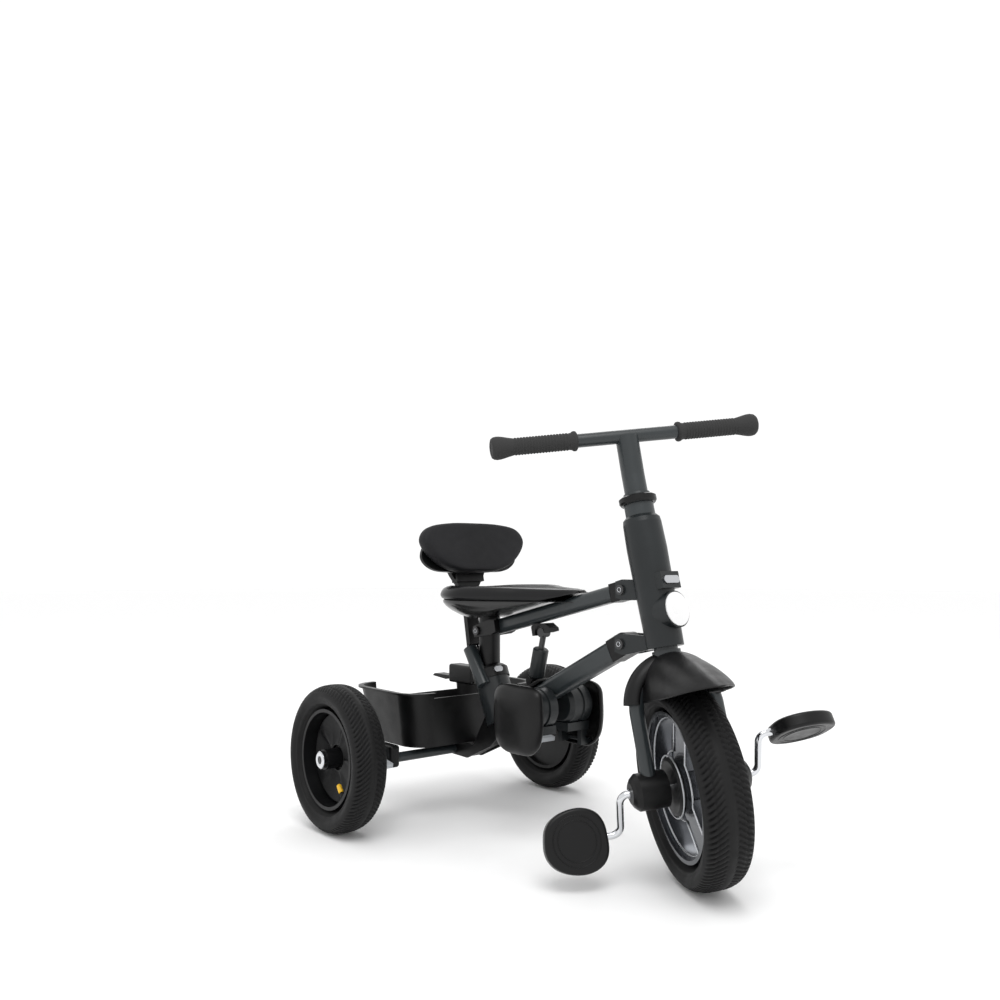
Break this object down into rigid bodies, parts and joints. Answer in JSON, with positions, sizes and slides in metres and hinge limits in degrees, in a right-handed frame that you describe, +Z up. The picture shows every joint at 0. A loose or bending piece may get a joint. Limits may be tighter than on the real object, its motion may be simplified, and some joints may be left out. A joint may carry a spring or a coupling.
{
  "type": "children's tricycle",
  "caption": "Pedal tricycle for small children with a twin-bar folding frame, padded seat and backrest, folding footrests, rear basket and treaded tyres.",
  "frame": {"origin": "middle of the footprint at floor level", "axes": "+X forward along the tricycle, +Y to the rider's left, +Z up; the fork is stored turned to the rider's right"},
  "size_m": [0.7324, 0.4982, 0.6166],
  "materials": {
    "tube_paint": "satin slate grey paint",
    "slate_plastic": "slate grey moulding",
    "black_plastic": "fine moulded grain",
    "gloss_black": "gloss",
    "seat_top": "soft textured skin",
    "pad_fabric": "dark woven cover",
    "tyre": "treaded",
    "grip_rubber": "soft",
    "chrome": "polished",
    "brake_grey": "light grey",
    "rim_dark": "dark gloss",
    "badge_white": "plain white",
    "silver": "satin"
  },
  "bodies": {
    "frame": {"rear_beam": "tube_paint", "axle_clamps": "black_plastic", "rear_stub_axles": "chrome", "rear_axle_caps": "chrome", "rear_column": "slate_plastic", "column_cap": "black_plastic", "seat_post": "black_plastic", "column_bracket": "black_plastic", "push_handle_socket": "tube_paint", "backrest_post": "black_plastic", "backrest_bracket": "black_plastic", "backrest_shell": "black_plastic", "backrest_pad": "pad_fabric", "seat_shell": "gloss_black", "seat_pad": "seat_top", "rear_pivot_bolts": "silver", "basket": "black_plastic", "handle_lock_block": "black_plastic"},
    "rear_wheel_left": {"rear_tyre_left": "tyre", "rear_rim_left": "rim_dark"},
    "rear_wheel_right": {"rear_tyre_right": "tyre", "rear_rim_right": "rim_dark"},
    "brake_left": {"brake_pedal_left": "brake_grey"},
    "brake_right": {"brake_pedal_right": "brake_grey"},
    "column_release": {"column_button": "silver"},
    "handle_lock": {"handle_lock_lever": "black_plastic"},
    "lower_arm": {"lower_bar": "tube_paint", "lower_bar_ends": "black_plastic", "footrest_drum_left": "slate_plastic", "footrest_drum_right": "slate_plastic", "strut_foot": "black_plastic"},
    "upper_arm": {"upper_bar": "tube_paint", "upper_bar_cap": "black_plastic", "upper_bar_rear_fork": "black_plastic", "strut_hook": "black_plastic"},
    "footrest_left_body": {"footrest_left": "black_plastic"},
    "footrest_right_body": {"footrest_right": "black_plastic"},
    "strut_outer": {"strut_sleeve": "slate_plastic"},
    "strut_inner": {"strut_rod": "chrome"},
    "head": {"head_cover": "slate_plastic", "head_cap": "slate_plastic", "head_badge": "badge_white", "front_pivot_bolts": "silver"},
    "head_release": {"release_switch": "silver"},
    "fork": {"steerer_tube": "tube_paint", "lock_ring": "black_plastic", "stem_tube": "tube_paint", "handlebar": "tube_paint", "grip_left": "grip_rubber", "grip_right": "grip_rubber", "fork_crown": "tube_paint", "fork_legs": "tube_paint", "hub_covers": "black_plastic", "fender": "black_plastic"},
    "front_wheel": {"front_tyre": "tyre", "front_rim": "rim_dark", "front_hub_discs": "rim_dark", "crank_rod": "chrome"},
    "pedal_left_body": {"pedal_left": "black_plastic"},
    "pedal_right_body": {"pedal_right": "black_plastic"}
  },
  "joints": [
    {"name": "rear_wheel_left_spin", "type": "hinge", "parent": "frame", "child": "rear_wheel_left", "pos_m": [-0.253, 0.2211, 0.1101], "axis": [0, 1, 0], "continuous": true},
    {"name": "rear_wheel_right_spin", "type": "hinge", "parent": "frame", "child": "rear_wheel_right", "pos_m": [-0.253, -0.2211, 0.1101], "axis": [0, 1, 0], "continuous": true},
    {"name": "brake_left_press", "type": "hinge", "parent": "frame", "child": "brake_left", "pos_m": [-0.253, 0.17, 0.1101], "axis": [0, 1, 0], "range_deg": [0, 15]},
    {"name": "brake_right_press", "type": "hinge", "parent": "frame", "child": "brake_right", "pos_m": [-0.253, -0.17, 0.1101], "axis": [0, 1, 0], "range_deg": [0, 15]},
    {"name": "column_button_push", "type": "slide", "parent": "frame", "child": "column_release", "axis": [-0.8865, 0.2079, -0.4134], "range_m": [0, 0.003], "stiffness_N_per_m": 400},
    {"name": "handle_lock_lift", "type": "hinge", "parent": "frame", "child": "handle_lock", "pos_m": [-0.2524, 0, 0.216], "axis": [0, 1, 0], "range_deg": [0, 20], "stiffness_Nm_per_rad": 0.1},
    {"name": "fold_lower", "type": "hinge", "parent": "frame", "child": "lower_arm", "pos_m": [-0.088, 0, 0.1786], "axis": [0, 1, 0], "range_deg": [0, 15]},
    {"name": "fold_upper", "type": "hinge", "parent": "frame", "child": "upper_arm", "pos_m": [-0.161, 0, 0.298], "axis": [0, 1, 0], "range_deg": [0, 11.84]},
    {"name": "fold_head", "type": "hinge", "parent": "lower_arm", "child": "head", "pos_m": [0.1444, 0, 0.2971], "axis": [0, 1, 0], "range_deg": [-26.63, 0]},
    {"name": "strut_tilt", "type": "hinge", "parent": "lower_arm", "child": "strut_outer", "pos_m": [-0.04435, 0, 0.22948], "axis": [0, 1, 0], "range_deg": [-23.75, 0]},
    {"name": "strut_slide", "type": "slide", "parent": "strut_outer", "child": "strut_inner", "axis": [0.2533, 0, 0.9674], "range_m": [-0.01746, 0]},
    {"name": "footrest_left_fold", "type": "hinge", "parent": "lower_arm", "child": "footrest_left_body", "pos_m": [-0.015, 0.0606, 0.1395], "axis": [-1, 0, 0], "range_deg": [0, 90]},
    {"name": "footrest_right_fold", "type": "hinge", "parent": "lower_arm", "child": "footrest_right_body", "pos_m": [-0.015, -0.0606, 0.1395], "axis": [1, 0, 0], "range_deg": [0, 90]},
    {"name": "head_switch_push", "type": "slide", "parent": "head", "child": "head_release", "axis": [-0.974, 0, -0.2267], "range_m": [0, 0.003], "stiffness_N_per_m": 400},
    {"name": "steering", "type": "hinge", "parent": "head", "child": "fork", "pos_m": [0.2483, 0, 0.1289], "axis": [-0.2267, 0, 0.974], "range_deg": [-10, 70]},
    {"name": "front_wheel_spin", "type": "hinge", "parent": "fork", "child": "front_wheel", "pos_m": [0.24333, 0.00296, 0.12774], "axis": [0.4885, 0.8652, 0.1137], "continuous": true},
    {"name": "pedal_left_spin", "type": "hinge", "parent": "front_wheel", "child": "pedal_left_body", "pos_m": [0.32813, 0.12175, 0.19643], "axis": [0.4885, 0.8652, 0.1137], "continuous": true},
    {"name": "pedal_right_spin", "type": "hinge", "parent": "front_wheel", "child": "pedal_right_body", "pos_m": [0.15853, -0.11583, 0.05906], "axis": [0.4885, 0.8652, 0.1137], "continuous": true}
  ],
  "couplings": [
    {"joint": "fold_upper", "follows": "fold_lower", "ratio": 0.78882},
    {"joint": "fold_head", "follows": "fold_lower", "ratio": -1.775},
    {"joint": "strut_tilt", "follows": "fold_lower", "ratio": -1.5824},
    {"joint": "strut_slide", "follows": "fold_lower", "m_per_rad": -0.066613}
  ]
}
